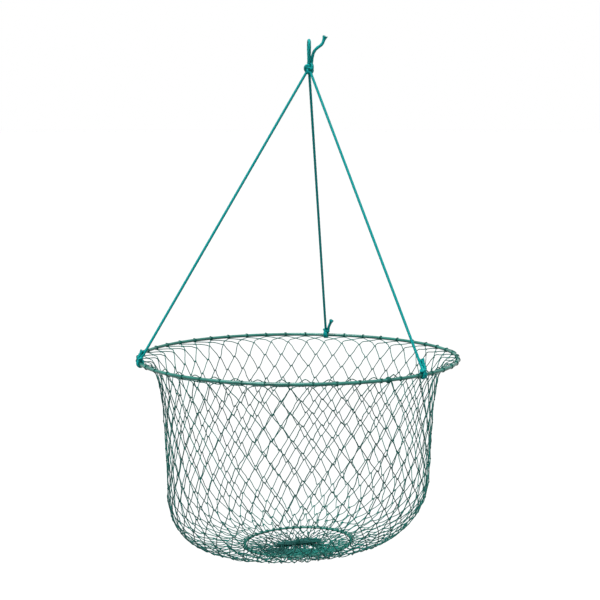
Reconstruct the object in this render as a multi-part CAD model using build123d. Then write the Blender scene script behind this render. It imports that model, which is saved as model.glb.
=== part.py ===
from build123d import *
from math import cos, radians, sin, tan
import os

# A two-ring crab net. It hangs by a cord bridle from a small haul loop.
# Millimetres, +Z up. The origin is the inside of the haul loop's top bend, where a hook or line bears.

# --- steel rings ---
TOP_RING_RADIUS = 305.0  # to the middle of the wire: a 24 inch ring
TOP_WIRE = 6.35  # wire diameter with its coat
BOTTOM_RING_RADIUS = 103.4  # to the middle of the wire: an 8 inch ring
BOTTOM_WIRE = 4.0
BOTTOM_TILT = 2.2  # degrees that the bottom ring hangs low on its -X side

# --- levels, from the haul loop down ---
KNOT_DROP = 48.5  # origin to the middle of the top knot
BRIDLE_HEIGHT = 547.0  # middle of the top knot to the plane of the top ring
NET_DEPTH = 362.6  # plane of the top ring to the plane of the bottom ring
KNOT_OFFSET = 20.6  # the top knot stands this far to +X of the rings' axis

# --- cords and twine ---
CORD = 4.8  # braided bridle cord, pulled tight
SLACK_CORD = 5.2  # the same cord where nothing pulls it
TWINE = 1.8  # netting and lacing twine
WRAP_GAP = 0.1  # between a wire and the twine wrapped round it

# --- netting ---
MESHES = 46  # meshes round either ring
MESH_PHASE = 1.05  # degrees from +X to the first hitch
LIP_DROP = 6.6  # the net's edge lies this far below the top wire's middle
LIP_INSET = 6.6  # and this far inside it
SHOULDER = (270.0, -18.0)  # radius and height, from the top ring, where the lip turns down
SHOULDER_RADIUS = 28.0
WAIST = (257.0, -100.0)  # where the wall steepens
WAIST_RADIUS = 600.0
HEEL = (248.0, -340.0)  # where the wall turns in towards the bottom ring
HEEL_RADIUS = 103.0
WALL_END_GAP = 5.4  # the wall stops this far outside the bottom wire's middle
WALL_END_RISE = 1.1  # and this far above it
FLOOR_EDGE_GAP = 4.5  # the floor starts this far inside the bottom wire's middle
FLOOR_EDGE_DROP = 2.5
FLOOR_FLAT_RADIUS = 60.0
FLOOR_SAG = 13.0

# --- hitches, lacing and knots ---
HITCH_WIDTH = 3.8  # two turns of twine side by side
WRAP_ROUNDING = 0.45  # radius of a wrap's outer edges, as a share of its wall
LACING_KNOT_WIDTH = 8.0
LACING_KNOT_WALL = 2.2
LACING_KNOT_ANGLE = 301.3
LACING_ANGLE = 120.0  # where the running twine lies on its wire, from the outside of the ring
GATHER_LENGTH = 87.0
GATHER_DIAMETER = 12.0
GATHER_RISE = -3.7  # middle of the gathered bundle, from the bottom ring's plane
TIE_OFFSETS = (-4.0, -1.5, 1.0)  # three turns of twine round the bundle
TOP_KNOT_CORE = 7.4
TOP_KNOT_WRAP = 6.4
TOP_KNOT_TILTS = (0.0, 38.0, -38.0)
TOP_KNOT_HALF_HEIGHT = 11.5
RING_KNOT_WRAP_PITCH = 5.0  # between the two turns of a ring knot
RING_KNOT_HEAD = 5.6
RING_KNOT_STRETCH = 1.2  # the head is this much longer along the wire
RING_KNOT_GAP = 0.2  # between the wire and the knot's turns
RING_KNOT_RISE = 7.0  # middle of a ring knot's head above the wire's middle
LEG_TOP_GAP = 13.0  # a leg's solid stops this far from the top knot's middle

# Each leg's place on the top ring in degrees from +X
LEG_ANGLES = {"left": 196.0, "right": 317.0, "back": 79.0}

# Each leg's loose end from the middle of its knot's head: outwards, along the ring and up
KNOT_TAIL_ROUTES = {
    "left": [(4.2, -1.6, 3.6), (-0.4, -1.8, 10.6), (-4.4, -1.8, 17.2)],
    "right": [(1.9, 4.2, 3.6), (-1.4, 4.5, 10.0), (-5.2, 5.0, 16.5), (-7.0, 5.3, 19.8)],
    "back": [(-0.5, -4.9, 3.0), (-1.6, -6.2, 10.4), (-2.2, -9.6, 17.2), (-4.2, -12.6, 24.0)],
}

# Routes from the middle of the top knot.
HAUL_TWIST = 5.0  # degrees that the haul loop is turned about Z
HAUL_ROUTE = [
    (0, -2.5, 7.5),
    (0, -6.5, 22.5),
    (0, -13.0, 38.0),
    (0, -8.5, 50.95),
    (0, 8.5, 50.95),
    (0, 13.0, 38.0),
    (0, 6.5, 22.5),
    (0, 2.5, 7.5),
]
TAIL_ROUTE = [
    (5.0, 0.0, 9.0),
    (6.0, -1.0, 23.0),
    (12.0, -2.0, 35.0),
    (24.5, -1.5, 43.0),
    (27.5, -0.5, 51.0),
    (30.0, 0.0, 58.0),
]

ARC_SHARE = 0.45  # share of the shorter run that a cord's arc may take

KNOT_PLACE = Vector(0, 0, -KNOT_DROP)
TOP_PLACE = Vector(-KNOT_OFFSET, 0, -KNOT_DROP - BRIDLE_HEIGHT)
BOTTOM_PLACE = TOP_PLACE - Vector(0, 0, NET_DEPTH)
BOTTOM_FRAME = Location(BOTTOM_PLACE) * Rotation(0, -BOTTOM_TILT, 0)


def place_on_ring(radius, angle):
    """A frame on a ring's wire at an angle: X outwards, Y along the wire, Z up."""
    return Rotation(0, 0, angle) * Location((radius, 0, 0))


def corner_radii(points):
    """The largest arcs that a cord's runs allow, one for each corner of its route."""
    corners = [Vector(*p) for p in points]
    radii = []
    for before, here, after in zip(corners, corners[1:], corners[2:]):
        turn = (here - before).get_angle(after - here)
        shorter = min((here - before).length, (after - here).length)
        radii.append(ARC_SHARE * shorter / tan(radians(turn / 2)))
    return radii


def cord(name, points, diameter):
    """A cord's tube: straight runs joined by tangent arcs."""
    radii = corner_radii(points)
    path = FilletPolyline(*points, radius=radii)
    start = Plane(origin=path @ 0, z_dir=path % 0)
    tube = sweep(start * Circle(diameter / 2), path=path)
    expected = path.length * Circle(diameter / 2).area
    print(f"{name}: length {path.length:.1f}, radii {[round(r, 1) for r in radii]},", end=" ")
    print(f"volume {tube.volume:.1f} of {expected:.1f}")
    return tube


def sleeve(wire, wall, width):
    """Turns of twine round a wire that runs along Y."""
    outer = Cylinder(wire / 2 + wall, width)
    outer = fillet(outer.edges(), wall * WRAP_ROUNDING)
    hole = Cylinder(wire / 2 + WRAP_GAP, 2 * width)
    return Rotation(90, 0, 0) * (outer - hole)


def hitches(radius, wire):
    """One hitch on the wire for each mesh, each a separate solid."""
    step = 360 / MESHES
    hitch = sleeve(wire, TWINE, HITCH_WIDTH)
    return [place_on_ring(radius, MESH_PHASE + step * i) * hitch for i in range(MESHES)]


def running_twine(radius, wire):
    """The twine that runs round a ring from hitch to hitch."""
    offset = wire / 2 + TWINE / 2 + WRAP_GAP
    out = offset * cos(radians(LACING_ANGLE))
    up = offset * sin(radians(LACING_ANGLE))
    return Pos(0, 0, up) * Torus(radius + out, TWINE / 2)


def shell(path):
    """A thin skin of netting turned about Z from a line of radius and height."""
    return revolve(Plane.XZ * trace(path, line_width=TWINE), axis=Axis.Z)


def net_wall():
    edge = (TOP_RING_RADIUS - LIP_INSET, -LIP_DROP)
    end = (BOTTOM_RING_RADIUS + WALL_END_GAP, -NET_DEPTH + WALL_END_RISE)
    radii = [SHOULDER_RADIUS, WAIST_RADIUS, HEEL_RADIUS]
    return shell(FilletPolyline(edge, SHOULDER, WAIST, HEEL, end, radius=radii))


def net_floor():
    edge = (BOTTOM_RING_RADIUS - FLOOR_EDGE_GAP, -FLOOR_EDGE_DROP)
    return shell(Polyline(edge, (FLOOR_FLAT_RADIUS, -FLOOR_SAG), (0, -FLOOR_SAG)))


def gathered_bundle():
    straight = GATHER_LENGTH - GATHER_DIAMETER
    bundle = Rotation(0, 90, 0) * Cylinder(GATHER_DIAMETER / 2, straight)
    for end in (-straight / 2, straight / 2):
        bundle += Pos(end, 0, 0) * Sphere(GATHER_DIAMETER / 2)
    return Pos(0, 0, GATHER_RISE) * bundle


def gather_tie():
    wrap = Torus(GATHER_DIAMETER / 2 + TWINE / 2 + WRAP_GAP, TWINE / 2)
    return [Pos(x, 0, GATHER_RISE) * Rotation(0, 90, 0) * wrap for x in TIE_OFFSETS]


def top_knot():
    """Where the three legs, the haul loop and the tail are knotted together."""
    knot = scale(Sphere(TOP_KNOT_CORE), by=(1, 1, TOP_KNOT_HALF_HEIGHT / TOP_KNOT_CORE))
    for tilt in TOP_KNOT_TILTS:
        knot += Rotation(tilt, tilt / 2, 0) * Torus(TOP_KNOT_WRAP, SLACK_CORD / 2)
    return Location(KNOT_PLACE) * knot


def ring_knot():
    """Two turns of cord round the top wire with the knot's head above them."""
    turn = Rotation(90, 0, 0) * Torus(TOP_WIRE / 2 + CORD / 2 + RING_KNOT_GAP, CORD / 2)
    knot = Pos(0, 0, RING_KNOT_RISE) * scale(Sphere(RING_KNOT_HEAD), by=(1, RING_KNOT_STRETCH, 1))
    for place in (-RING_KNOT_WRAP_PITCH / 2, RING_KNOT_WRAP_PITCH / 2):
        knot += Pos(0, place, 0) * turn
    wire = Rotation(90, 0, 0) * Cylinder(TOP_WIRE / 2 + RING_KNOT_GAP / 2, 8 * RING_KNOT_HEAD)
    return knot - wire


def leg(angle):
    """A taut cord from a ring knot's head towards the middle of the top knot."""
    foot = TOP_PLACE + (place_on_ring(TOP_RING_RADIUS, angle) * Pos(0, 0, RING_KNOT_RISE)).position
    rise = KNOT_PLACE - foot
    length = rise.length - LEG_TOP_GAP
    return Plane(origin=foot + rise * (length / 2 / rise.length), z_dir=rise) * Cylinder(CORD / 2, length)


def knot_tail(side, angle):
    """The short end left over beside a leg's knot."""
    head = place_on_ring(TOP_RING_RADIUS, angle) * Pos(0, 0, RING_KNOT_RISE)
    points = [tuple(TOP_PLACE + (head * Pos(*point)).position) for point in KNOT_TAIL_ROUTES[side]]
    return cord(f"knot_tail_{side}", points, SLACK_CORD)


def write(name, solids):
    """One STEP file for each named piece."""
    if isinstance(solids, list):
        solids = Compound(children=solids)
    solids.label = name
    export_step(solids, f"parts/{name}.step")


def main():
    os.makedirs("parts", exist_ok=True)

    # the head of the bridle, which a person or a line holds
    write("top_knot", top_knot())
    haul = Location(KNOT_PLACE) * Rotation(0, 0, HAUL_TWIST)
    write("haul_loop", haul * cord("haul_loop", HAUL_ROUTE, SLACK_CORD))
    write("bridle_tail", Location(KNOT_PLACE) * cord("bridle_tail", TAIL_ROUTE, SLACK_CORD))

    # the top ring with everything tied to it
    top = Location(TOP_PLACE)
    write("top_ring", top * Torus(TOP_RING_RADIUS, TOP_WIRE / 2))
    write("top_lacing", top * running_twine(TOP_RING_RADIUS, TOP_WIRE))
    write("top_hitches", [top * h for h in hitches(TOP_RING_RADIUS, TOP_WIRE)])
    lacing_knot = sleeve(TOP_WIRE, LACING_KNOT_WALL, LACING_KNOT_WIDTH)
    write("lacing_knot", top * place_on_ring(TOP_RING_RADIUS, LACING_KNOT_ANGLE) * lacing_knot)
    write("net_wall", top * net_wall())
    for side, angle in LEG_ANGLES.items():
        write(f"ring_knot_{side}", top * place_on_ring(TOP_RING_RADIUS, angle) * ring_knot())
        write(f"leg_{side}", leg(angle))
        write(f"knot_tail_{side}", knot_tail(side, angle))

    # the bottom ring with the floor of the net
    write("bottom_ring", BOTTOM_FRAME * Torus(BOTTOM_RING_RADIUS, BOTTOM_WIRE / 2))
    write("bottom_lacing", BOTTOM_FRAME * running_twine(BOTTOM_RING_RADIUS, BOTTOM_WIRE))
    write("bottom_hitches", [BOTTOM_FRAME * h for h in hitches(BOTTOM_RING_RADIUS, BOTTOM_WIRE)])
    write("net_floor", BOTTOM_FRAME * net_floor())
    write("bottom_gather", BOTTOM_FRAME * gathered_bundle())
    write("gather_tie", [BOTTOM_FRAME * turn for turn in gather_tie()])


main()
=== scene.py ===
import bpy
import math
import numpy as np
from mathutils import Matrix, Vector


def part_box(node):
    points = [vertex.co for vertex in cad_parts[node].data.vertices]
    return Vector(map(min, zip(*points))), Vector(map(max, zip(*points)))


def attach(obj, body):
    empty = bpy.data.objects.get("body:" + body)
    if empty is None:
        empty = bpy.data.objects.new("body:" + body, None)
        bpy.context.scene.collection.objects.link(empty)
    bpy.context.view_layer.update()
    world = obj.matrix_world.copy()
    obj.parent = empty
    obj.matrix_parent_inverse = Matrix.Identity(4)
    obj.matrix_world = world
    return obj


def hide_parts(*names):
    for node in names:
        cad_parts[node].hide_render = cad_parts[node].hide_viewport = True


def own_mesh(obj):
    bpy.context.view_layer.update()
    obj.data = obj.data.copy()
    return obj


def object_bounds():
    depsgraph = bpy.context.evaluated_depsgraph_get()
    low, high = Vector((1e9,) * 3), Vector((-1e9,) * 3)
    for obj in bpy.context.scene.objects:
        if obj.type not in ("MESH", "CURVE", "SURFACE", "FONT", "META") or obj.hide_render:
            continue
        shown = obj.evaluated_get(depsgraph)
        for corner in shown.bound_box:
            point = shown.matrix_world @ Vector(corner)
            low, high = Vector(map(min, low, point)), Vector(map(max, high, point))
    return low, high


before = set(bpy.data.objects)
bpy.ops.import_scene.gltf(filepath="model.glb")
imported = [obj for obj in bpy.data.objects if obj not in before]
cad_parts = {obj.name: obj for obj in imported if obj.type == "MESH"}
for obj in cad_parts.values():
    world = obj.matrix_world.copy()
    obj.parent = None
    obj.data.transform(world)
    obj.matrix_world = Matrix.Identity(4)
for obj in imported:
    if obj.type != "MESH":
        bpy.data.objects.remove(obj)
CAD_BOX = [list(c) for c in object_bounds()]

# Everything is in metres, in the row frame: the origin is inside the haul loop, +Z is up.
MM = 0.001
UP = np.array([0, 0, 1.0])
LEVEL = np.array([1, 1, 0.0])  # times a vector, this leaves its level part
rng = np.random.default_rng(7)


# ---------------- sizes, from the frame
def middle(node):
    low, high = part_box(node)
    return (np.array(low) + np.array(high)) / 2


def size(node):
    low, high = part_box(node)
    return np.array(high) - np.array(low)


TOP_WIRE = size("top_ring")[2] / 2  # radius of the wire
TOP_RING = size("top_ring")[0] / 2 - TOP_WIRE  # radius to the middle of the wire
TOP_CENTRE = middle("top_ring")
BOTTOM_TILT = math.radians(2.2)  # the small ring hangs low on its -X side
BOTTOM_WIRE = 2.0 * MM
BOTTOM_RING = size("bottom_ring")[1] / 2 - BOTTOM_WIRE
BOTTOM_CENTRE = middle("bottom_ring")
NET_DEPTH = TOP_CENTRE[2] - BOTTOM_CENTRE[2]
KNOT = middle("top_knot")

MESHES = 46
MESH_STEP = math.tau / MESHES
FIRST_MESH = math.radians(1.05)  # the first hitch, from +X
TWINE = 0.85 * MM  # radius of the netting and lacing twine
TWINE_STRANDS = 3
TWINE_PITCH = 4 * MM
CORD = 2.5 * MM  # radius over the braid of the bridle cord where it is taut
SLACK_CORD = 2.9 * MM  # and where it isn't
BRAID_STRANDS = 4  # strands that go each way round the braid
BRAID_PITCH = 9 * MM

LEG_ANGLES = {"left": math.radians(196), "right": math.radians(317), "back": math.radians(79)}
RING_KNOT_RISE = 7.0 * MM


# ---------------- camera, floor and light
CAMERA_TARGET = TOP_CENTRE + np.array([3.8, 0, 109.6]) * MM
CAMERA_DISTANCE = 2.981
CAMERA_ELEVATION = math.radians(6.87)
CAMERA_LENS = 93.9
CAMERA_SENSOR = 36.0
CAMERA_REACH = 100.0
FLOOR_DROP = 0.45  # floor below the net's lowest point
FLOOR_SIZE = 600.0
FLOOR_COLOUR = (0.235, 0.235, 0.235, 1)
WORLD_STRENGTH = 1.0
# Soft lights: name, direction towards the light, strength, and width in degrees
SUNS = [("key", (-0.3, -0.3, 1.0), 11.0, 40), ("side", (0.9, -0.3, 0.8), 1.2, 60)]


def make_camera():
    back = np.array([0, -math.cos(CAMERA_ELEVATION), math.sin(CAMERA_ELEVATION)])
    data = bpy.data.cameras.new("camera")
    data.lens = CAMERA_LENS
    data.sensor_width = CAMERA_SENSOR
    data.clip_end = CAMERA_REACH
    camera = bpy.data.objects.new("camera", data)
    camera.location = Vector(CAMERA_TARGET + back * CAMERA_DISTANCE)
    camera.rotation_mode = "QUATERNION"
    camera.rotation_quaternion = Vector(-back).to_track_quat("-Z", "Y")
    bpy.context.scene.collection.objects.link(camera)
    bpy.context.scene.camera = camera


def make_world():
    """An even white sky."""
    world = bpy.data.worlds.new("studio")
    world.use_nodes = True
    set_values(world.node_tree.nodes["Background"], {"Color": (1, 1, 1, 1), "Strength": WORLD_STRENGTH})
    bpy.context.scene.world = world
    bpy.context.scene.view_settings.view_transform = "Standard"


def make_floor():
    """A pale floor, far enough below the net not to shade it."""
    half = FLOOR_SIZE / 2
    level = CAD_BOX[0][2] - FLOOR_DROP
    mesh = bpy.data.meshes.new("floor")
    corners = [(-half, -half, level), (half, -half, level), (half, half, level), (-half, half, level)]
    mesh.from_pydata(corners, [], [(0, 1, 2, 3)])
    floor = bpy.data.objects.new("floor", mesh)
    bpy.context.scene.collection.objects.link(floor)
    pale, _, shader = new_material("pale_floor")
    set_values(shader, {"Base Color": FLOOR_COLOUR, "Roughness": 1.0, "Specular IOR Level": 0.0})
    mesh.materials.append(pale)


def make_lights():
    for name, direction, strength, spread in SUNS:
        data = bpy.data.lights.new(name, "SUN")
        data.energy = strength
        data.angle = math.radians(spread)
        light = bpy.data.objects.new(name, data)
        light.rotation_mode = "QUATERNION"
        light.rotation_quaternion = Vector(direction).to_track_quat("Z", "Y")
        bpy.context.scene.collection.objects.link(light)


# ---------------- materials
# Colours as red, green and blue: the darkest and lightest of a coat or a yarn, or of what shows on it
RING_GREENS = ((0.003, 0.040, 0.032), (0.008, 0.084, 0.067))
RING_SCUFF = (0.03, 0.15, 0.12)
# The cord's dark colour is painted shade in the braid's grooves, and its light colour is a painted
# highlight on the strands' tops.
CORD_SHADE_AND_HIGHLIGHT = ((0.0, 0.040, 0.042), (0.0, 0.145, 0.14))
CORD_FIBRE = (0.004, 0.22, 0.21)
CORD_WORN = (0.0, 0.08, 0.085)
NET_GREENS = ((0.006, 0.028, 0.027), (0.006, 0.085, 0.070))
LACING_GREENS = ((0.002, 0.024, 0.020), (0.004, 0.062, 0.049))
GROOVE_SHADE = 0.35  # painted shade: the grooves between strands keep this share of the dark colour
FUZZ_LIGHT = 1.8  # stray fibres are this much lighter than the light colour
CORD_FIBRES = 40
FIBRE_PITCH = 30 * MM
MIX_INPUTS = (0, 6, 7)  # a mix node's factor and its two colours
MIX_RESULT = 2


def new_material(name):
    material = bpy.data.materials.new(name)
    material.use_nodes = True
    tree = material.node_tree
    return material, tree, tree.nodes["Principled BSDF"]


def add_node(tree, kind, **values):
    node = tree.nodes.new(kind)
    for key, value in values.items():
        setattr(node, key, value)
    return node


def set_values(node, values):
    for name, value in values.items():
        node.inputs[name].default_value = value


def noise(tree, scale, detail):
    place = add_node(tree, "ShaderNodeTexCoord")
    node = add_node(tree, "ShaderNodeTexNoise")
    set_values(node, {"Scale": scale, "Detail": detail})
    tree.links.new(place.outputs["Object"], node.inputs["Vector"])
    return node.outputs["Fac"]


def math_node(tree, operation, *values):
    """A sum, product and so on of sockets or numbers."""
    node = add_node(tree, "ShaderNodeMath", operation=operation)
    for socket, value in zip(node.inputs, values):
        if isinstance(value, (int, float)):
            socket.default_value = value
        else:
            tree.links.new(value, socket)
    return node.outputs[0]


def colour_ramp(tree, factor, stops):
    node = add_node(tree, "ShaderNodeValToRGB")
    ramp = node.color_ramp
    while len(ramp.elements) < len(stops):
        ramp.elements.new(0.5)
    for element, (place, colour) in zip(ramp.elements, stops):
        element.position = place
        element.color = (*colour, 1)
    tree.links.new(factor, node.inputs["Fac"])
    return node.outputs["Color"]


def mix_colours(tree, factor, first, second):
    """A mix of two colours, each a socket or a tuple."""
    node = add_node(tree, "ShaderNodeMix", data_type="RGBA")
    for place, value in zip(MIX_INPUTS, (factor, first, second)):
        if isinstance(value, tuple):
            node.inputs[place].default_value = (*value, 1)
        else:
            tree.links.new(value, node.inputs[place])
    return node.outputs[MIX_RESULT]


def set_bump(tree, shader, height, strength, distance):
    bump = add_node(tree, "ShaderNodeBump")
    set_values(bump, {"Strength": strength, "Distance": distance})
    tree.links.new(height, bump.inputs["Height"])
    tree.links.new(bump.outputs["Normal"], shader.inputs["Normal"])


def along_and_round(tree):
    """A tube's own coordinates: metres along it, and turns round it."""
    uv = add_node(tree, "ShaderNodeUVMap", uv_map="tube")
    split = add_node(tree, "ShaderNodeSeparateXYZ")
    tree.links.new(uv.outputs["UV"], split.inputs[0])
    return split.outputs["X"], split.outputs["Y"]


def strand_ridges(tree, strands, pitch):
    """0 in the grooves to 1 on top of the twisted strands of a twine or one way of a braid."""
    along, round_it = along_and_round(tree)
    lengthwise = math_node(tree, "DIVIDE", along, pitch)
    crosswise = math_node(tree, "MULTIPLY", round_it, strands)
    turns = math_node(tree, "ADD", lengthwise, crosswise)
    wave = math_node(tree, "SINE", math_node(tree, "MULTIPLY", turns, math.pi))
    return math_node(tree, "ABSOLUTE", wave)


def coat_material():
    """Green epoxy coat on steel wire: slightly uneven gloss, with dull scuffs."""
    material, tree, shader = new_material("ring_coat")
    dark, light = RING_GREENS
    patches = noise(tree, scale=45.0, detail=4.0)
    colour = colour_ramp(tree, patches, [(0.3, dark), (0.7, light)])
    scuffs = noise(tree, scale=900.0, detail=3.0)
    worn = colour_ramp(tree, scuffs, [(0.62, (0, 0, 0)), (0.75, (1, 1, 1))])
    colour = mix_colours(tree, math_node(tree, "MULTIPLY", worn, 0.25), colour, RING_SCUFF)
    tree.links.new(colour, shader.inputs["Base Color"])
    rough = math_node(tree, "ADD", math_node(tree, "MULTIPLY", scuffs, 0.2), 0.2)
    tree.links.new(rough, shader.inputs["Roughness"])
    set_values(shader, {"Specular IOR Level": 0.22, "Coat Weight": 0.04, "Coat Roughness": 0.2})
    set_bump(tree, shader, noise(tree, scale=350.0, detail=3.0), strength=0.35, distance=0.4 * MM)
    return material


def cord_material():
    """Teal braided cord: dull, with painted shade between the strands and a painted highlight on their
    tops.
    """
    material, tree, shader = new_material("bridle_cord")
    dark, light = CORD_SHADE_AND_HIGHLIGHT
    one_way = strand_ridges(tree, BRAID_STRANDS, BRAID_PITCH)
    other_way = strand_ridges(tree, BRAID_STRANDS, -BRAID_PITCH)
    ridges = math_node(tree, "MAXIMUM", one_way, other_way)
    fibres = strand_ridges(tree, CORD_FIBRES, FIBRE_PITCH)
    worn = noise(tree, scale=60.0, detail=3.0)
    # Painted shade in the grooves, painted highlight on the ridges.
    colour = colour_ramp(tree, ridges, [(0.55, dark), (0.95, light)])
    colour = mix_colours(tree, math_node(tree, "MULTIPLY", fibres, 0.12), colour, CORD_FIBRE)
    colour = mix_colours(tree, math_node(tree, "MULTIPLY", worn, 0.35), colour, CORD_WORN)
    tree.links.new(colour, shader.inputs["Base Color"])
    set_values(shader, {"Roughness": 0.5, "Specular IOR Level": 0.05})
    height = math_node(tree, "ADD", ridges, math_node(tree, "MULTIPLY", fibres, 0.25))
    set_bump(tree, shader, height, strength=0.6, distance=0.3 * MM)
    return material


def twine_material(name, greens):
    """Twisted twine: three strands, colour drifting from dark to light along the net, with painted shade in
    the grooves.
    """
    material, tree, shader = new_material(name)
    dark, light = greens
    ridges = strand_ridges(tree, TWINE_STRANDS, TWINE_PITCH)
    drift = noise(tree, scale=7.0, detail=2.0)
    colour = colour_ramp(tree, drift, [(0.35, dark), (0.65, light)])
    # Painted shade in the grooves between the strands.
    grooves = math_node(tree, "SUBTRACT", 1.0, ridges)
    colour = mix_colours(tree, grooves, colour, tuple(GROOVE_SHADE * c for c in dark))
    fuzz = math_node(tree, "MULTIPLY", noise(tree, scale=1500.0, detail=2.0), 0.25)
    colour = mix_colours(tree, fuzz, colour, tuple(FUZZ_LIGHT * c for c in light))
    tree.links.new(colour, shader.inputs["Base Color"])
    set_values(shader, {"Roughness": 0.6, "Specular IOR Level": 0.06})
    set_bump(tree, shader, ridges, strength=0.6, distance=0.25 * MM)
    return material


# ---------------- tubes
ROUTE_RESOLUTION = 24  # points from one corner of a cord's route to the next


def unit(v):
    return v / np.maximum(np.linalg.norm(v, axis=-1, keepdims=True), 1e-12)


def tangents(paths, closed):
    if closed:
        return unit(np.roll(paths, -1, 1) - np.roll(paths, 1, 1))
    first = paths[:, 1:2] - paths[:, :1]
    inner = paths[:, 2:] - paths[:, :-2]
    last = paths[:, -1:] - paths[:, -2:-1]
    return unit(np.concatenate([first, inner, last], 1))


def side_vectors(paths, forward, up):
    """A vector square to each path at each point: near up if it is given, or else carried along."""
    if up is not None:
        reference = np.broadcast_to(up, paths.shape)
        return unit(reference - (reference * forward).sum(-1, keepdims=True) * forward)
    first = np.where(np.abs(forward[:, 0, 2:3]) < 0.8, [UP], [[1.0, 0.0, 0.0]])
    sides = np.empty_like(paths)
    for i in range(paths.shape[1]):
        first = unit(first - (first * forward[:, i]).sum(-1, keepdims=True) * forward[:, i])
        sides[:, i] = first
    return sides


class Tubes:
    """Collects tubes and writes them as one mesh, with metres along and turns round as its UV map."""

    def __init__(self):
        self.verts, self.faces, self.uvs, self.count = [], [], [], 0

    def add(self, paths, radius, sides, closed=False, up=None, relief=None):
        """paths is one path (n, 3) or many of equal length (b, n, 3). radius is one number or a number
        for each point. relief(metres along, turns round) is the surface's height as a share of it."""
        paths = np.asarray(paths, float)
        if paths.ndim == 2:
            paths = paths[None]
        many, length, _ = paths.shape
        steps = np.linalg.norm(np.diff(paths, axis=1), axis=-1)
        along = np.concatenate([np.zeros((many, 1)), np.cumsum(steps, 1)], 1)
        starts = self.count + np.arange(many) * length * sides
        self._place_rings(paths, along, radius, sides, closed, up, relief)
        self._join_rings(paths, along, starts, sides, closed)
        if not closed:
            self._cap(starts, sides, along[:, 0], True)
            self._cap(starts + (length - 1) * sides, sides, along[:, -1], False)
        self.count += many * length * sides
        return self

    def _place_rings(self, paths, along, radius, sides, closed, up, relief):
        """A ring of vertices round each point."""
        forward = tangents(paths, closed)
        side = side_vectors(paths, forward, up)
        third = np.cross(forward, side)
        turn = np.arange(sides) / sides
        radius = np.broadcast_to(np.asarray(radius, float), paths.shape[:2])[..., None]
        if relief is not None:
            radius = radius * (1 + relief(along[..., None], turn[None, None]))
        angle = turn * math.tau
        ring = side[:, :, None] * np.cos(angle)[:, None] + third[:, :, None] * np.sin(angle)[:, None]
        verts = paths[:, :, None] + ring * radius[..., None]
        self.verts.append(verts.reshape(-1, 3))

    def _join_rings(self, paths, along, starts, sides, closed):
        """The faces between the rings, with the UV of their corners."""
        length = paths.shape[1]
        last = length if closed else length - 1
        i = np.arange(last)[None, :, None]
        j = np.arange(sides)[None, None]
        here = starts[:, None, None] + i * sides
        ahead = starts[:, None, None] + (i + 1) % length * sides
        right = (j + 1) % sides
        quads = np.stack([here + j, here + right, ahead + right, ahead + j], -1)
        self.faces.extend(quads.reshape(-1, 4).tolist())
        if closed:
            around = np.linalg.norm(paths[:, 0] - paths[:, -1], axis=-1, keepdims=True)
            along = np.concatenate([along, along[:, -1:] + around], 1)
        near, far = along[:, :last, None], along[:, 1 : last + 1, None]
        near, far, low, high = np.broadcast_arrays(near, far, j / sides, (j + 1) / sides)
        corners = np.stack([near, low, near, high, far, high, far, low], -1)
        self.uvs.append(corners.reshape(-1, 2))

    def _cap(self, starts, sides, along, flip):
        """A flat face over one end of each tube."""
        ring = np.arange(sides)
        if flip:
            ring = ring[::-1]
        self.faces.extend((starts[:, None] + ring).tolist())
        u = np.repeat(along, sides)
        self.uvs.append(np.stack([u, np.tile(ring / sides, len(starts))], -1))

    def build(self, name, body, node, slot):
        """Makes the piece: it rides on a body, stands for a node and shows as a slot's material."""
        mesh = bpy.data.meshes.new(name)
        mesh.from_pydata(np.concatenate(self.verts), [], self.faces)
        layer = mesh.uv_layers.new(name="tube")
        layer.data.foreach_set("uv", np.concatenate(self.uvs).astype(np.float32).ravel())
        mesh.polygons.foreach_set("use_smooth", np.ones(len(mesh.polygons), bool))
        mesh.materials.append(LOOKS[slot])
        piece = bpy.data.objects.new(name, mesh)
        bpy.context.scene.collection.objects.link(piece)
        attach(piece, body)
        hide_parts(node)
        return piece


def nurbs_points(route):
    """Points on the smooth line of a cord's route, in the row frame."""
    curve = bpy.data.curves.new("route", "CURVE")
    curve.dimensions = "3D"
    spline = curve.splines.new("NURBS")
    spline.points.add(len(route) - 1)
    for point, place in zip(spline.points, route):
        point.co = (*place, 1)
    spline.order_u = 3
    spline.use_endpoint_u = True
    spline.resolution_u = ROUTE_RESOLUTION
    holder = bpy.data.objects.new("route", curve)
    mesh = bpy.data.meshes.new_from_object(holder)
    points = np.array([v.co for v in mesh.vertices], float)
    bpy.data.objects.remove(holder)
    bpy.data.curves.remove(curve)
    bpy.data.meshes.remove(mesh)
    return points


def evenly(points, step):
    """The same line with points a step apart."""
    points = np.asarray(points, float)
    lengths = np.concatenate([[0], np.cumsum(np.linalg.norm(np.diff(points, axis=0), axis=1))])
    wanted = np.linspace(0, lengths[-1], max(2, round(lengths[-1] / step) + 1))
    return np.stack([np.interp(wanted, lengths, points[:, i]) for i in range(3)], -1)


def smooth_through(points, per_run):
    """A Catmull-Rom line through points."""
    p = np.asarray(points, float)
    p = np.concatenate([2 * p[:1] - p[1:2], p, 2 * p[-1:] - p[-2:-1]])
    t = np.linspace(0, 1, per_run, endpoint=False)[:, None]
    runs = []
    for a, b, c, d in zip(p, p[1:], p[2:], p[3:]):
        linear = (c - a) * t
        square = (2 * a - 5 * b + 4 * c - d) * t**2
        cube = (3 * b - a - 3 * c + d) * t**3
        runs.append(0.5 * (2 * b + linear + square + cube))
    return np.concatenate([*runs, p[-2:-1]])


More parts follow.
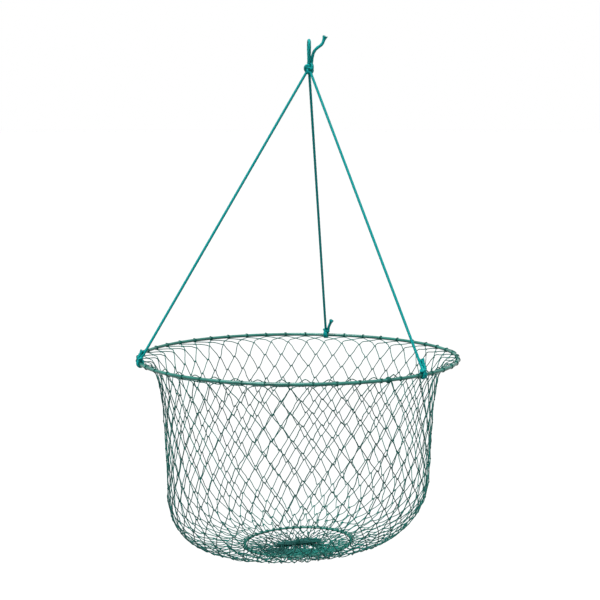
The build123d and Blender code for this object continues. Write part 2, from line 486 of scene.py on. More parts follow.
# ---------------- cords
BRAID_RELIEF = 0.07
BRAID_LEVEL = 0.7  # the ridges' height that lies on the cord's own radius
CORD_SIDES = 24
CORD_STEP = 0.6 * MM
END_YARNS = 14
YARN = 0.5 * MM  # radius of a yarn
YARN_SIDES = 6
END_LENGTH = 8 * MM  # a cut end opens over this length
END_CURVE = 1.5
END_RUN = 8  # steps from a cut end back to the point that gives its direction
TAIL_SPREAD = 1.75  # how many times the cord's width a cut end opens to
KNOT_TAIL_SPREAD = 1.6
RING_KNOT_CORD = 2.45 * MM  # radius of the cord where the knot is pulled tight


def braid(along, turn):
    """The woven relief of a braided cord."""
    one = np.abs(np.sin(math.pi * (along / BRAID_PITCH + BRAID_STRANDS * turn)))
    other = np.abs(np.sin(math.pi * (-along / BRAID_PITCH + BRAID_STRANDS * turn)))
    return BRAID_RELIEF * (np.maximum(one, other) - BRAID_LEVEL)


def braided(tubes, line, radius):
    tubes.add(evenly(line, CORD_STEP), radius, CORD_SIDES, relief=braid)


def by_ring(angle, out=0.0, along=0.0, up=0.0):
    """A point by the top ring: outwards, along and up from the middle of its wire."""
    outwards = np.array([math.cos(angle), math.sin(angle), 0])
    forward = np.array([-math.sin(angle), math.cos(angle), 0])
    return TOP_CENTRE + outwards * (TOP_RING + out) + forward * along + UP * up


def ring_route(angle, route, lift=0.0):
    """A route by the top ring in millimetres, outwards, along it and up, lifted as a whole."""
    return [by_ring(angle, x * MM, y * MM, z * MM + lift) for x, y, z in route]


def leg_foot(side):
    return by_ring(LEG_ANGLES[side], up=RING_KNOT_RISE)


HAUL_TWIST = math.radians(5)
HAUL_ROUTE = [
    (0, -2.5, 7.5),
    (0, -6.5, 22.5),
    (0, -13.0, 38.0),
    (0, -8.5, 50.95),
    (0, 8.5, 50.95),
    (0, 13.0, 38.0),
    (0, 6.5, 22.5),
    (0, 2.5, 7.5),
]
TAIL_ROUTE = [
    (5.0, 0.0, 9.0),
    (6.0, -1.0, 23.0),
    (12.0, -2.0, 35.0),
    (24.5, -1.5, 43.0),
    (27.5, -0.5, 51.0),
    (30.0, 0.0, 58.0),
]
KNOT_TAIL_ROUTES = {
    "left": [(4.2, -1.6, 3.6), (-0.4, -1.8, 10.6), (-4.4, -1.8, 17.2)],
    "right": [(1.9, 4.2, 3.6), (-1.4, 4.5, 10.0), (-5.2, 5.0, 16.5), (-7.0, 5.3, 19.8)],
    "back": [(-0.5, -4.9, 3.0), (-1.6, -6.2, 10.4), (-2.2, -9.6, 17.2), (-4.2, -12.6, 24.0)],
}
LEG_START = 13.0 * MM  # a leg's free length begins this far from the middle of the top knot
LEG_HANDLE = 12 * CORD  # how far from each end the corners of its straight route are


def turned(point, angle):
    x, y, z = point
    return (x * math.cos(angle) - y * math.sin(angle), x * math.sin(angle) + y * math.cos(angle), z)


def cut_cord(tubes, path, spread):
    """A cord that ends in a cut: its braid opens like a bell near the end and the yarns stand out."""
    line = evenly(path, CORD_STEP)
    left = CORD_STEP * np.arange(len(line))[::-1]
    opening = np.clip(1 - left / END_LENGTH, 0, 1) ** END_CURVE
    tubes.add(line, SLACK_CORD * (1 + (spread - 1) * opening), CORD_SIDES, relief=braid)
    end, before = line[-1], line[-END_RUN]
    forward = unit(end - before)
    side = side_vectors(np.array([[before, end]]), forward[None, None].repeat(2, 1), None)[0, 0]
    third = np.cross(forward, side)
    for yarn in range(END_YARNS):
        angle = math.tau * yarn / END_YARNS + rng.uniform(-0.2, 0.2)
        out = (side * math.cos(angle) + third * math.sin(angle)) * SLACK_CORD * spread
        root = end - forward * 1.5 * MM + out * 0.6
        tip = end + forward * rng.uniform(0.4, 1.8) * MM + out * rng.uniform(0.55, 0.92)
        halfway = (root + tip) / 2 + out * 0.08
        tubes.add(smooth_through([root, halfway, tip], 4), YARN, YARN_SIDES)


def make_haul_loop():
    route = [KNOT + np.array(turned(p, HAUL_TWIST)) * MM for p in HAUL_ROUTE]
    path = nurbs_points(route)
    tubes = Tubes()
    braided(tubes, path, SLACK_CORD)
    piece = tubes.build("haul_loop_cord", "bridle_head", "haul_loop", "bridle_cord")


def make_bridle_tail():
    route = [KNOT + np.array(p) * MM for p in TAIL_ROUTE]
    path = nurbs_points(route)
    tubes = Tubes()
    cut_cord(tubes, path, TAIL_SPREAD)
    piece = tubes.build("bridle_tail_cord", "bridle_head", "bridle_tail", "bridle_cord")


def make_leg(side):
    """A taut leg, from the head of its ring knot to the top knot."""
    foot = leg_foot(side)
    rise = unit(KNOT - foot)
    top = KNOT - rise * LEG_START
    path = nurbs_points([foot, foot + rise * LEG_HANDLE, top - rise * LEG_HANDLE, top])
    tubes = Tubes()
    braided(tubes, path, CORD)
    piece = tubes.build(f"leg_{side}_cord", "top_ring", f"leg_{side}", "bridle_cord")
    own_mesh(piece)


def make_knot_tail(side):
    route = ring_route(LEG_ANGLES[side], KNOT_TAIL_ROUTES[side], RING_KNOT_RISE)
    tubes = Tubes()
    cut_cord(tubes, nurbs_points(route), KNOT_TAIL_SPREAD)
    tubes.build(f"knot_tail_{side}_cord", "top_ring", f"knot_tail_{side}", "bridle_cord")


# ---------------- knots in the cord
# Each loop of the knot: its middle, its reach and how much its lobes swell, its depth, where its first lobe
# points, and the radius of its cord, in millimetres
KNOT_LOBES = [
    ((0.4, -2.4, -0.8), 4.9, 2.6, 2.6, math.pi, 2.9),
    ((0.2, 2.4, -1.6), 4.6, 1.9, 2.6, 0.5, 2.8),
]
# Stretches of cord through the knot: the points they pass, and their radius
KNOT_CORES = [
    ([(-0.4, 0.4, -9.5), (0.2, 0.8, -4), (0.4, 0.6, 3), (-0.6, 0, 11.5)], 3.4),
    ([(4.7, 0.2, 9.5), (3.2, 0.6, 4), (0.8, 0.8, -3)], 2.8),
    ([(-5.2, -2.2, 3.2), (-2.4, -5.2, 1.2), (2.6, -5.0, -1.4), (6.0, -2.4, -3.4)], 2.7),
    ([(1.6, -1.4, -12), (2.2, -1.8, -8.5), (0.4, 0.4, -2)], 3.2),
]
LOBE_POINTS = 150
LOBE_HEIGHT = 1.25  # the trefoils are this much taller than they are wide
# Where a leg's cord is drawn into the top knot: from the knot's middle, and how thick it is there
LEG_STUB = (15 * MM, 2 * MM)
LEG_STUB_CORD = 1.02 * CORD
# Where it comes out of a ring knot
HEAD_DROP = 1.0 * MM
LEG_SLEEVE = 5 * MM
LEG_SLEEVE_CORD = 1.03 * CORD


def make_top_knot():
    """An overhand knot tied in both ropes at once: two trefoils, with the cords drawn into them."""
    tubes = Tubes()
    t = np.linspace(0, math.tau, LOBE_POINTS, endpoint=False)
    for centre, reach, swing, depth, first, thick in KNOT_LOBES:
        out = reach + swing * np.cos(3 * t)
        wide = out * np.cos(2 * t + first)
        tall = LOBE_HEIGHT * out * np.sin(2 * t + first)
        lobes = np.stack([wide, depth * np.sin(3 * t), tall], -1)
        tubes.add(KNOT + (lobes + centre) * MM, thick * MM, CORD_SIDES, closed=True, relief=braid)
    for points, thick in KNOT_CORES:
        tubes.add(KNOT + smooth_through(points, 10) * MM, thick * MM, CORD_SIDES, relief=braid)
    for side in LEG_ANGLES:
        rise = unit(KNOT - leg_foot(side))
        braided(tubes, [KNOT - rise * reach for reach in LEG_STUB], LEG_STUB_CORD)
    tubes.build("top_knot_cord", "bridle_head", "top_knot", "bridle_cord")


# The knot's cord by the middle of the wire, in millimetres: outwards, along the wire and up
RING_KNOT_PATH = [
    (-3.6, 0.2, 14.5),
    (0.6, -2.2, 11.0),
    (4.6, -3.2, 5.0),
    (4.7, -2.9, -1.6),
    (1.2, -2.6, -4.9),
    (-3.4, -2.4, -3.6),
    (-5.0, -1.6, 1.6),
    (-1.6, 0.0, 6.2),
    (3.8, 1.8, 5.4),
    (5.0, 2.3, -0.8),
    (1.4, 2.2, -4.9),
    (-3.4, 2.0, -3.6),
    (-5.0, 2.0, 2.0),
    (-3.0, 1.8, 7.4),
    (1.6, -1.0, 9.4),
    (4.6, -3.2, 9.6),
    (3.0, -5.4, 7.6),
    (-1.6, -4.6, 7.4),
    (-3.2, -0.6, 9.6),
    (-0.8, 3.6, 11.2),
    (2.4, 3.6, 9.8),
    (3.2, 1.4, 8.4),
]


def make_ring_knot(side):
    """Two turns round the wire that cross on top, then a half hitch round the leg."""
    angle = LEG_ANGLES[side]
    tubes = Tubes()
    braided(tubes, ring_route(angle, smooth_through(RING_KNOT_PATH, 10)), RING_KNOT_CORD)
    tail_start = ring_route(angle, KNOT_TAIL_ROUTES[side], RING_KNOT_RISE)[0]
    head = by_ring(angle, up=RING_KNOT_RISE - HEAD_DROP)
    foot = leg_foot(side)
    braided(tubes, [head, tail_start], SLACK_CORD)
    braided(tubes, [head, foot + unit(KNOT - foot) * LEG_SLEEVE], LEG_SLEEVE_CORD)
    tubes.build(f"ring_knot_{side}_cord", "top_ring", f"ring_knot_{side}", "bridle_cord")


# ---------------- netting
LIP_EDGE = (-6.6 * MM, -6.6 * MM)  # the edge of the net, from the middle of the top wire: outwards and up
# Corners of the net's outline under it: radius, and height from the top ring
SHOULDER = (270.0 * MM, -18.0 * MM)
WAIST = (257.0 * MM, -100.0 * MM)
HEEL = (248.0 * MM, -340.0 * MM)
BOTTOM_END = (5.4 * MM, 1.1 * MM)  # the last knots, from the middle of the bottom wire
CORNER_RADII = (28 * MM, 600 * MM, 103 * MM)
ARC_POINTS = 40
OUTLINE_STEP = 0.5 * MM
ROWS = 19  # rows of bars between the rings
EDGE_ROW = 8 * MM  # from the net's edge to its first free knots
SHOULDER_ROW = 22.5 * MM  # and to the next
BAR_RANGE = (20 * MM, 40 * MM)  # the length of a bar lies between these
HALVINGS = 40  # how often that range is halved to find it
# The first three rows of knots, by the middle of the top wire: outwards and up
LIP_KNOTS = np.array([(-2.2, -3.4), (-14.5, -6.0), (-27, -12.5)]) * MM
EDGE_KNOT_STRETCH = 1.9  # the first free knots are drawn out along the ring
LOWER_STRETCH = 0.06  # the lowest bars hang this much longer than the highest
SKEW = 0.5  # meshes that the pattern turns from top to bottom
ASKEW = 8.0 * MM  # how far the upper rows are pulled up at front right and back left, and down between them
ASKEW_ROWS = (2, 7)  # the pull grows and fades over these many rows
SLIP = math.radians(2.0)  # how far the rows have slid round at the back
SLIP_ROWS = 2.6
SIDE_SLIP = math.radians(5.5)  # and how much further at the back's -X side
SIDE_SLIP_PLACE = (math.radians(158), math.radians(36))  # its middle and its width
SIDE_SLIP_ROWS = (1.3, 9)
SIDE_SAG = 0.046  # how much lower the net hangs on its -X side, as a slope, half-way down
HEEL_SAG = 0.03  # and at its heel
HEEL_FROM = 0.2  # metres down the outline
BOTTOM_DROOP = 1.0 * MM  # how much more each row droops towards the small ring
DROOP_FROM = 13
# The slow unevenness of the hanging net: share, waves round it, phase, and the phase's change down it
WAVES = [(0.45, 3, 0.7, 3.1), (0.35, 5, 2.4, -4.0), (0.2, 11, 1.1, 7.0)]
WAVE = 2.2 * MM
# How unevenly the knots lie: down the net, in and out, and round it
UNEVEN_DOWN = 0.7 * MM
UNEVEN_OUT = 0.6 * MM
UNEVEN_ROUND = 0.9 * MM
UNEVEN_BAR = 0.45 * MM
KNOT_REACH = 0.8 * MM  # a straight bar starts and ends this far beside the middle of a knot
# How a bar leaves a knot and comes into the one below: millimetres on the way round and down
HOOK_START = (1.7, 1.3)
HOOK = np.array([(-4.4, -2.4), (-3.6, 0.6), (-1.8, 1.7), (-0.2, 0.9)])
# A netting knot, in millimetres along the ring, up and outwards: a bight, and a turn of twine round it
BIGHT = np.array([
    (-2.0, -1.5, 0),
    (-1.7, 0.0, 0.5),
    (-0.8, 0.7, 0.8),
    (0.6, 0.7, 0.8),
    (1.4, 0.0, 0.5),
    (1.6, -1.0, 0),
])
TURN = np.linspace(0, math.tau, 10, endpoint=False)
WRAP = np.stack([1.4 * np.cos(TURN), 0.4 * np.sin(2 * TURN) + 0.1, 0.9 * np.sin(TURN)], -1)
BIGHT_TWINE = 0.9 * TWINE
WRAP_TWINE = 0.8 * TWINE
NET_SIDES = 6
NET_SPANS = {"upper": (0, 7), "middle": (7, 13), "lower": (13, ROWS)}  # the wall's pieces, by rows
# The bars of the first two rows run flat along the ring, then turn down: sideways shares, falls, unevenness
EDGE_BARS = [
    [((0, 0.3, 0.6, 1.0), (0, 0.12, 0.42, 1.0), 0.05)] * 2,
    [
        ((0, 0.3, 0.66, 0.86, 1.0), (0, 0.10, 0.18, 0.5, 1.0), 0.04),
        ((0, 0.3, 0.6, 0.82, 1.0), (0, 0.10, 0.34, 0.68, 1.0), 0.04),
    ],
]


def meridian():
    """The net's outline as radius and height below the top ring, as evenly spaced points."""
    corners = np.array([
        (TOP_RING + LIP_EDGE[0], LIP_EDGE[1]),
        SHOULDER,
        WAIST,
        HEEL,
        (BOTTOM_RING + BOTTOM_END[0], -NET_DEPTH + BOTTOM_END[1]),
    ])
    line = [corners[:1]]
    for before, here, after, radius in zip(corners, corners[1:], corners[2:], CORNER_RADII):
        one, two = unit(before - here), unit(after - here)
        half = math.acos(float(np.clip(one @ two, -1, 1))) / 2
        reach = radius / math.tan(half)
        start, end = here + one * reach, here + two * reach
        centre = here + unit(one + two) * radius / math.sin(half)
        first = math.atan2(*(start - centre)[::-1])
        turn = (math.atan2(*(end - centre)[::-1]) - first + math.pi) % math.tau - math.pi
        angles = first + turn * np.linspace(0, 1, ARC_POINTS)
        line.append(centre + radius * np.stack([np.cos(angles), np.sin(angles)], -1))
    line.append(corners[-1:])
    flat = np.concatenate(line)
    return evenly(np.column_stack([flat, np.zeros(len(flat))]), OUTLINE_STEP)[:, :2]


def row_places(outline):
    """The distance of each row of knots along the outline, with bars of nearly one length."""
    step = np.linalg.norm(outline[1] - outline[0])
    total = step * (len(outline) - 1)
    low, high = BAR_RANGE
    for _ in range(HALVINGS):
        bar = (low + high) / 2
        places = [0.0, EDGE_ROW, SHOULDER_ROW]
        for _ in range(ROWS - 2):
            radius = outline[min(len(outline) - 1, int(places[-1] / step)), 0]
            length = bar * (1 + LOWER_STRETCH * len(places) / ROWS)
            places.append(places[-1] + math.sqrt(length**2 - (math.pi * radius / MESHES) ** 2))
        if places[-1] > total:
            high = bar
        else:
            low = bar
    return np.minimum(places, total)


def waves(turns, depth):
    """Slow unevenness of the hanging net, from -1 to 1."""
    return sum(part * np.sin(count * turns + phase + shift * depth) for part, count, phase, shift in WAVES)


def bump(values, centre, width):
    """1 at the centre, falling to nothing on both sides."""
    return np.exp(-(((values - centre) / width) ** 2))


def upper_rows(rows, grows, fades):
    """0 at the ring, most in the upper rows and little below."""
    return (1 - bump(rows, 0, grows)) * bump(rows, 0, fades)


def slid_round(turns, rows):
    """How far round the ring knots have slid from under their hitches."""
    turns = turns % math.tau
    back = np.sqrt(np.clip(np.sin(turns), 0, 1)) * (1 - np.exp(-((rows / SLIP_ROWS) ** 3)))
    side = bump(turns, *SIDE_SLIP_PLACE) * upper_rows(rows, *SIDE_SLIP_ROWS)
    return -SLIP * back - SIDE_SLIP * side


def pulled_askew(turns, rows):
    """How far knots have been pulled up: most in the upper rows, and more at the front than at the back."""
    front = 0.7 - 0.3 * np.sin(turns)
    return -ASKEW * front * np.sin(2 * turns) * upper_rows(rows, *ASKEW_ROWS)


def net_nodes():
    """The knots between the rings, as rows of points in the row frame."""
    outline = meridian()
    places = row_places(outline)
    step = np.linalg.norm(outline[1] - outline[0])
    share = np.arange(ROWS + 1) / ROWS
    rows = np.arange(ROWS + 1)[:, None]
    turns = FIRST_MESH + MESH_STEP * (np.arange(MESHES)[None] + rows / 2 + SKEW * share[:, None] ** 1.5)
    turns = turns + slid_round(turns, rows)
    loose = np.sin(math.pi * share)[:, None] ** 0.5 * (rows > 0)
    along = places[:, None] + rng.normal(0, UNEVEN_DOWN, turns.shape) * loose
    index = np.clip(along / step, 0, len(outline) - 1)
    radius = np.interp(index, np.arange(len(outline)), outline[:, 0])
    height = np.interp(index, np.arange(len(outline)), outline[:, 1])
    lip = len(LIP_KNOTS)
    radius[:lip] = TOP_RING + LIP_KNOTS[:, :1]
    height[:lip] = LIP_KNOTS[:, 1:]
    uneven = WAVE * waves(turns, share[:, None]) + rng.normal(0, UNEVEN_OUT, turns.shape)
    radius = radius + uneven * loose
    turns = turns + rng.normal(0, UNEVEN_ROUND, turns.shape) * loose / radius
    x, y = radius * np.cos(turns), radius * np.sin(turns)
    depth = np.clip(-height / NET_DEPTH, 0, 1)
    heel = np.clip((places - HEEL_FROM) / (places[-1] - HEEL_FROM), 0, 1)[:, None]
    slope = math.tan(BOTTOM_TILT) * depth**2 + SIDE_SAG * np.sin(math.pi * depth)
    slope = slope + HEEL_SAG * np.sin(math.pi * heel)
    return np.stack([x, y, height + x * slope + pulled_askew(turns, rows)], -1) + TOP_CENTRE


def outward(points):
    """The level way from the net's middle to each point."""
    return unit((points - TOP_CENTRE) * LEVEL)


def knot_sides(upper, lower):
    """The way from each upper knot to a lower one, as its part round the net and its part down it."""
    down = meridian_way(upper, lower)
    across = unit(np.cross(outward((upper + lower) / 2), down))
    return across * np.sign((across * (lower - upper)).sum(-1, keepdims=True)), down


def droop(paths, depth):
    """Lets the middle of each path hang."""
    arch = np.sin(math.pi * np.linspace(0, 1, paths.shape[1]))
    paths[..., 2] -= arch * depth * rng.uniform(0.6, 1.3, (len(paths), 1))
    return paths


def straight_bars(upper, lower):
    """Bars that run on through the knots at their ends in one line."""
    across, _ = knot_sides(upper, lower)
    start, end = upper + across * KNOT_REACH, lower - across * KNOT_REACH
    share = np.linspace(0, 1, 4)[:, None]
    loose = rng.normal(0, UNEVEN_BAR, (len(upper), 4, 3)) * np.sin(math.pi * share)
    corners = start[:, None] + (end - start)[:, None] * share + loose
    return np.stack([smooth_through(line, 4) for line in corners])


def hooked_bars(upper, lower):
    """Bars that pass beside the lower knot and turn back into it from below."""
    across, down = knot_sides(upper, lower)
    hook = HOOK * rng.uniform(0.7, 1.25, (len(upper), 1, 1))
    near = lower[:, None] + (across[:, None] * hook[..., :1] + down[:, None] * hook[..., 1:]) * MM
    start = upper + (across * HOOK_START[0] + down * HOOK_START[1]) * MM
    share = np.array([0, 0.33, 0.67])[:, None]
    loose = rng.normal(0, UNEVEN_BAR, (len(upper), 3, 3)) * np.array([0, 1, 1])[:, None]
    straight = start[:, None] + (near[:, 0] - start)[:, None] * share + loose
    corners = np.concatenate([straight, near], 1)
    return np.stack([smooth_through(line, 4) for line in corners])


def shaped_bars(upper, lower, shares, falls, jitter):
    """Bars whose sideways part and whose fall each keep to their own pace."""
    chord = lower - upper
    flat = chord * LEVEL
    drop = chord - flat
    loose = rng.normal(0, jitter, (2, len(upper), len(shares)))
    loose[..., [0, -1]] = 0
    sideways = flat[:, None] * (np.array(shares) + loose[0])[..., None]
    fall = drop[:, None] * (np.array(falls) + loose[1])[..., None]
    corners = upper[:, None] + sideways + fall
    return np.stack([smooth_through(line, 5) for line in corners])


def meridian_way(upper, lower):
    """The way down the net from one row to the next, without its sideways part."""
    across = unit(np.cross(outward((upper + lower) / 2), UP))
    chord = lower - upper
    return unit(chord - (chord * across).sum(-1, keepdims=True) * across)


def knot_paths(points, out, stretch):
    """A sheet bend at each point, drawn out sideways by stretch: its bights and the turns round them."""
    across = unit(np.cross(UP, out))
    up = np.cross(out, across)
    frames = np.stack([across * stretch, up, out], 1)
    return [points[:, None] + np.einsum("pk,nkc->npc", shape * MM, frames) for shape in (BIGHT, WRAP)]


def row_bars(points, row):
    """The bars from one row of knots to the next, leaning one way and the other."""
    upper, lower = points[row], points[row + 1]
    before = np.roll(lower, 1, 0)
    if row < len(EDGE_BARS):
        return [shaped_bars(upper, other, *way) for other, way in zip((lower, before), EDGE_BARS[row])]
    return [straight_bars(upper, lower), hooked_bars(upper, before)]


def add_knots(knots, points, row):
    stretch = EDGE_KNOT_STRETCH if row == 1 else 1.0
    bights, wraps = knot_paths(points[row], outward(points[row]), stretch)
    knots.add(bights, BIGHT_TWINE, NET_SIDES)
    knots.add(wraps, WRAP_TWINE, NET_SIDES, closed=True)


def make_net_wall():
    points = net_nodes()
    for name, (first, last) in NET_SPANS.items():
        twine, knots = Tubes(), Tubes()
        for row in range(first, last):
            for paths in row_bars(points, row):
                twine.add(droop(paths, BOTTOM_DROOP * max(0, row - DROOP_FROM)), TWINE, NET_SIDES)
        for row in range(max(first, 1), last if last < ROWS else ROWS + 1):
            add_knots(knots, points, row)
        for kind, tubes in (("twine", twine), ("knots", knots)):
            piece = tubes.build(f"net_wall_{name}_{kind}", "top_ring", "net_wall", "net_twine")
            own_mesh(piece)


# ---------------- hitches and lacing
HITCH_WIDTH = 2.8 * MM
HITCH_TURNS = 1.5
HITCH_START = math.radians(115)  # round the wire, from its outside upwards
HITCH_STEPS = 12  # points of each turn
LACING_STEPS = 16  # points of the lacing from hitch to hitch
LACING_ANGLE = math.radians(165)  # where the lacing runs at the front: on the inside of the wire
LOOP_FALL = math.radians(50)  # how far its slack loops lean over the wire
BEHIND_FALL = math.radians(160)  # how far round the wire it has moved at the back
SLACK_PLACE = (0.68, 0.19)  # where a slack loop lies between two hitches, and its width
BACK_SLACK = 0.4 * MM  # how far the lacing stands off the top ring's wire at the back
FRONT_SLACK = 4.4 * MM  # and how much further its loops do at the front
BOTTOM_SLACK = 0.3 * MM
LACING_SIDES = 7
KNOT_SIDES = 8
LACING_KNOT_ANGLE = math.radians(301.3)
# The lacing knot's free end, in millimetres from the middle of the wire: outwards, along it and up
LACING_END = [(2.0, 2.0, 5.2), (3.0, 4.5, 7.0), (2.6, 7.5, 9.0), (4.0, 9.5, 10.2)]


def tilt_matrix():
    c, s = math.cos(BOTTOM_TILT), math.sin(BOTTOM_TILT)
    return np.array([[c, 0, -s], [0, 1, 0], [s, 0, c]])


def hitch_path(wire, width, turns):
    """Turns of twine round a wire: outwards, along and up from its middle."""
    t = np.linspace(0, turns, round(turns * HITCH_STEPS))
    angle = HITCH_START + t * math.tau
    reach = wire + 0.7 * TWINE
    return np.stack([reach * np.cos(angle), (t / turns - 0.5) * width, reach * np.sin(angle)], -1)


def place_round(paths, radius, turns):
    """Paths by a wire's middle set round a ring at each angle: out, along, up become x, y, z."""
    if paths.ndim == 2:
        paths = np.repeat(paths[None], len(turns), 0)
    out = np.stack([np.cos(turns), np.sin(turns), 0 * turns], -1)
    forward = np.stack([-np.sin(turns), np.cos(turns), 0 * turns], -1)
    placed = (radius + paths[..., 0:1]) * out[:, None] + paths[..., 1:2] * forward[:, None]
    placed[..., 2] += paths[..., 2]
    return placed


def make_hitches(ring, radius, wire, to_row):
    """A hitch round a ring's wire at each mesh, with the nub of its crossing on top."""
    turns = FIRST_MESH + MESH_STEP * np.arange(MESHES)
    path = hitch_path(wire, HITCH_WIDTH, HITCH_TURNS)
    many = np.repeat(path[None], MESHES, 0)
    many[..., 1] *= rng.uniform(0.8, 1.3, (MESHES, 1))
    rise = wire + 0.3 * MM + 0.3 * MM * np.cos(TURN)
    nub = np.stack([0.5 * wire + 0.8 * MM * np.sin(TURN), 1.7 * MM * np.cos(TURN), rise], -1)
    tubes = Tubes().add(to_row(place_round(many, radius, turns)), TWINE, LACING_SIDES)
    tubes.add(to_row(place_round(nub, radius, turns)), TWINE, NET_SIDES, closed=True)
    tubes.build(f"{ring}_hitch_twine", f"{ring}_ring", f"{ring}_hitches", "lacing_twine")


def make_lacing(ring, radius, wire, slack, to_row):
    """The twine that runs round a ring from hitch to hitch, with a little slack between them."""
    t = np.arange(MESHES * LACING_STEPS) / LACING_STEPS
    mesh = np.floor(t).astype(int)
    loops = slack(FIRST_MESH + MESH_STEP * (mesh + 0.5)) * rng.uniform(0.5, 1.0, MESHES)[mesh]
    slack_loop = bump(t % 1, *SLACK_PLACE)
    lift = wire + TWINE + loops * slack_loop
    turns = FIRST_MESH + MESH_STEP * t
    behind = np.clip(0.3 + 2.0 * np.sin(turns), 0, 1)
    angle = LACING_ANGLE - LOOP_FALL * slack_loop * (1 - behind) - BEHIND_FALL * behind
    reach = radius + lift * np.cos(angle)
    line = np.stack([reach * np.cos(turns), reach * np.sin(turns), lift * np.sin(angle)], -1)
    tubes = Tubes().add(to_row(line), TWINE, LACING_SIDES, closed=True, up=UP)
    tubes.build(f"{ring}_lacing_twine", f"{ring}_ring", f"{ring}_lacing", "lacing_twine")


def top_frame(points):
    return points + TOP_CENTRE


def bottom_frame(points):
    return points @ tilt_matrix().T + BOTTOM_CENTRE


def front_slack(turns):
    """The lacing is slack on the front of the top ring and drawn tight at the back."""
    return BACK_SLACK + FRONT_SLACK * np.clip(-np.sin(turns), 0, 1) ** 0.5


def even_slack(turns):
    return BOTTOM_SLACK + 0 * turns


def make_lacing_knot():
    """Turns of the lacing round the wire, a few more over them, and its free end."""
    angle = LACING_KNOT_ANGLE
    under = hitch_path(TOP_WIRE + 0.2 * MM, 7.5 * MM, turns=5.2)
    over = hitch_path(TOP_WIRE + 1.6 * MM, 3.0 * MM, turns=2.3)
    tubes = Tubes()
    for line in (under, over):
        tubes.add(top_frame(place_round(line, TOP_RING, np.array([angle]))), TWINE, KNOT_SIDES)
    tubes.add(smooth_through(ring_route(angle, LACING_END), 6), TWINE, KNOT_SIDES)
    tubes.build("lacing_knot_twine", "top_ring", "lacing_knot", "lacing_twine")


# ---------------- the floor of the net
# Rows of knots: radius, height from the small ring's plane, unevenness, and slack of the bars outside them
FLOOR_ROWS = [
    (98.9 * MM, -2.5 * MM, 0.0, 0.0),
    (80 * MM, -5.0 * MM, 1.2 * MM, 0.8 * MM),
    (58 * MM, -9.5 * MM, 3.0 * MM, 3.0 * MM),
    (34 * MM, -11.5 * MM, 4.0 * MM, 4.0 * MM),
]
FLOOR_LOW = -13.5 * MM
FLOOR_HIGH = -1.0 * MM
FLOOR_KNOT = np.stack([2.0 * np.cos(TURN), 1.3 * np.sin(TURN), 0.7 * np.sin(2 * TURN)], -1) * MM
FLOOR_KNOT_TWINE = 1.1 * TWINE
GATHER_HALF = 42 * MM
GATHER_RISE = -1.9 * MM
GATHER_WIDTH = 6.0 * MM
GATHER_STRANDS = 100
STRAND_POINTS = 11
GATHER_TWIST = 1.1  # radians that its strands turn from the middle to an end
GATHER_BEND = 0.06  # how much the gathered end climbs towards +X
TIE_TURNS = 3.4
TIE_POINTS = 60
TIE_START = -4 * MM  # along the gathered end
TIE_PITCH = 1.9 * MM
SURPLUS_BARS = 340
SURPLUS_SIZE = (80 * MM, 46 * MM)
SURPLUS_PLACE = (2 * MM, -38 * MM)  # the bunched netting lies towards -Y
SURPLUS_TOP = -8.5 * MM


def floor_nodes():
    rows = []
    for row, (radius, height, unevenness, _) in enumerate(FLOOR_ROWS):
        turns = FIRST_MESH + MESH_STEP * (np.arange(MESHES) + row / 2)
        turns = turns + rng.normal(0, 0.5, MESHES) * unevenness / radius
        reach = radius + rng.normal(0, 1, MESHES) * unevenness
        level = height + rng.normal(0, 0.4, MESHES) * unevenness
        rows.append(np.stack([reach * np.cos(turns), reach * np.sin(turns), level], -1))
    return rows


def keep_low(points):
    """Keeps netting under the small ring's plane and above the lowest point of its bag."""
    points[..., 2] = np.clip(points[..., 2], FLOOR_LOW, FLOOR_HIGH)
    return points


def floor_bars(upper, lower, slack):
    shares = np.array([0, 0.33, 0.67, 1.0])
    chord = lower - upper
    free = np.array([0, 1, 1, 0])[:, None] * np.array([1, 1, 0.5])
    loose = rng.normal(0, 1, (len(upper), 4, 3)) * slack * free
    corners = keep_low(upper[:, None] + chord[:, None] * shares[:, None] + loose)
    return np.stack([smooth_through(line, 4) for line in corners])


def make_net_floor():
    """Builds the net's floor and gives back its innermost row of knots."""
    rows = floor_nodes()
    twine = Tubes()
    up = tilt_matrix() @ UP
    for upper, lower, (*_, slack) in zip(rows, rows[1:], FLOOR_ROWS[1:]):
        for other in (lower, np.roll(lower, 1, 0)):
            twine.add(bottom_frame(floor_bars(upper, other, slack)), TWINE, NET_SIDES)
    for row in rows[1:]:
        points = bottom_frame(row)
        out = np.broadcast_to(up, points.shape)
        side = unit(np.cross(out, unit(points - BOTTOM_CENTRE)))
        frames = np.stack([side, np.cross(side, out), out], 1)
        wraps = points[:, None] + np.einsum("pk,nkc->npc", FLOOR_KNOT, frames)
        twine.add(wraps, FLOOR_KNOT_TWINE, NET_SIDES, closed=True)
    twine.build("net_floor_twine", "bottom_ring", "net_floor", "net_twine")
    return rows[-1]


def bend_gather(points):
    """The gathered end isn't level: it climbs a little towards +X."""
    points[..., 2] += GATHER_BEND * points[..., 0]
    return points


def gather_strands():
    """Strands of netting that run the length of the gathered end, slightly twisted."""
    strands = []
    share = np.linspace(-1, 1, STRAND_POINTS)
    for _ in range(GATHER_STRANDS):
        reach = GATHER_WIDTH * math.sqrt(rng.uniform(0.05, 1.0)) - TWINE
        angle = rng.uniform(0, math.tau) + GATHER_TWIST * share
        angle = angle + 0.15 * np.cumsum(rng.normal(0, 1, STRAND_POINTS))
        width = np.maximum(reach, 0) * (1 - 0.35 * np.abs(share) ** 4)
        length = GATHER_HALF * rng.uniform(0.86, 1.0)
        path = np.stack([length * share, width * np.cos(angle), GATHER_RISE + width * np.sin(angle)], -1)
        strands.append(smooth_through(bend_gather(path), 4))
    return np.stack(strands)


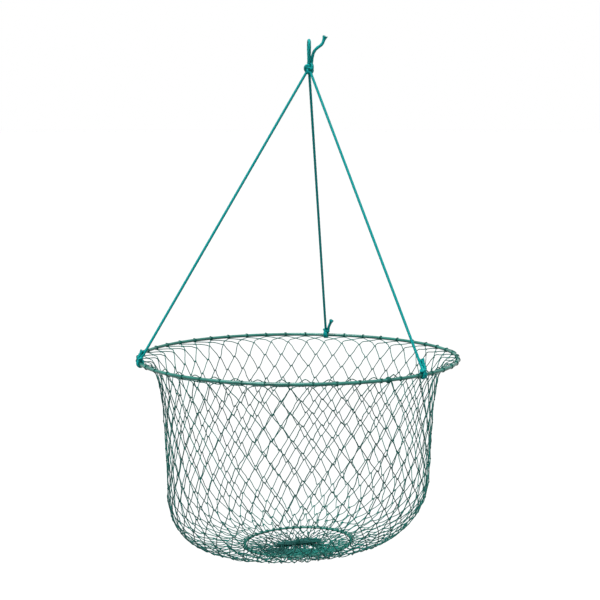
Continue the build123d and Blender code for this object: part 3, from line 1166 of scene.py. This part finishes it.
def strands_into_gather(last_row):
    """The last bars of the floor, drawn in under the gathered end."""
    strands = []
    for start in last_row:
        for _ in range(2):
            place = np.clip(start[0] * rng.uniform(0.5, 1.0), -GATHER_HALF * 0.9, GATHER_HALF * 0.9)
            end = np.array([place, rng.normal(0, 1.5 * MM), GATHER_RISE + rng.uniform(-6.0, -3.0) * MM])
            halfway = (start + end) / 2 + rng.normal(0, 2.0 * MM, 3)
            strands.append(smooth_through(keep_low(np.array([start, halfway, end])), 5))
    return np.stack(strands)


def surplus_netting():
    """The end of the netting beyond its tie: slack bars bunched round the gathered end."""
    angle = rng.uniform(0, math.tau, SURPLUS_BARS)
    reach = np.minimum(np.abs(rng.normal(0, 0.55, SURPLUS_BARS)), 1.0)
    lean = rng.normal(0, 0.5, SURPLUS_BARS)
    bars = []
    for turn, far, way in zip(angle, reach, lean):
        centre = np.array([
            SURPLUS_PLACE[0] + SURPLUS_SIZE[0] * far * math.cos(turn),
            SURPLUS_PLACE[1] + SURPLUS_SIZE[1] * far * math.sin(turn),
            rng.uniform(FLOOR_LOW, SURPLUS_TOP),
        ])
        step = np.array([math.cos(way), math.sin(way), 0]) * rng.uniform(5, 9) * MM
        slack = rng.normal(0, 2.0 * MM, (4, 3)) * np.array([1, 1, 0.7])
        path = centre + np.linspace(-1, 1, 4)[:, None] * step + slack
        bars.append(smooth_through(keep_low(path), 4))
    return np.stack(bars)


def make_gather(last_row):
    """The end of the netting, drawn together, lying across the small ring."""
    tubes = Tubes()
    for paths in (gather_strands(), strands_into_gather(last_row), surplus_netting()):
        tubes.add(bottom_frame(paths), TWINE, NET_SIDES)
    tubes.build("bottom_gather_twine", "bottom_ring", "bottom_gather", "net_twine")


def make_gather_tie():
    """The twine wound round the gathered end."""
    t = np.linspace(0, TIE_TURNS, TIE_POINTS)
    angle = t * math.tau
    reach = GATHER_WIDTH + TWINE
    rise = GATHER_RISE + reach * np.sin(angle)
    wrap = np.stack([TIE_START + TIE_PITCH * t, reach * np.cos(angle), rise], -1)
    tubes = Tubes().add(bottom_frame(bend_gather(wrap)), TWINE, KNOT_SIDES)
    tubes.build("gather_tie_twine", "bottom_ring", "gather_tie", "lacing_twine")


# ---------------- the whole trap
make_camera()
make_world()
make_floor()
make_lights()

LOOKS = {
    "bridle_cord": cord_material(),
    "net_twine": twine_material("net_twine", NET_GREENS),
    "lacing_twine": twine_material("lacing_twine", LACING_GREENS),
}
ring_look = coat_material()

make_haul_loop()
make_bridle_tail()
for leg_side in LEG_ANGLES:
    make_leg(leg_side)
    make_knot_tail(leg_side)
    make_ring_knot(leg_side)
make_top_knot()

for ring in ("top_ring", "bottom_ring"):
    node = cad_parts[ring]
    node.data.materials.clear()
    node.data.materials.append(ring_look)

make_net_wall()
make_hitches("top", TOP_RING, TOP_WIRE, top_frame)
make_lacing("top", TOP_RING, TOP_WIRE, front_slack, top_frame)
make_lacing_knot()
make_hitches("bottom", BOTTOM_RING, BOTTOM_WIRE, bottom_frame)
make_lacing("bottom", BOTTOM_RING, BOTTOM_WIRE, even_slack, bottom_frame)
make_gather(make_net_floor())
make_gather_tie()
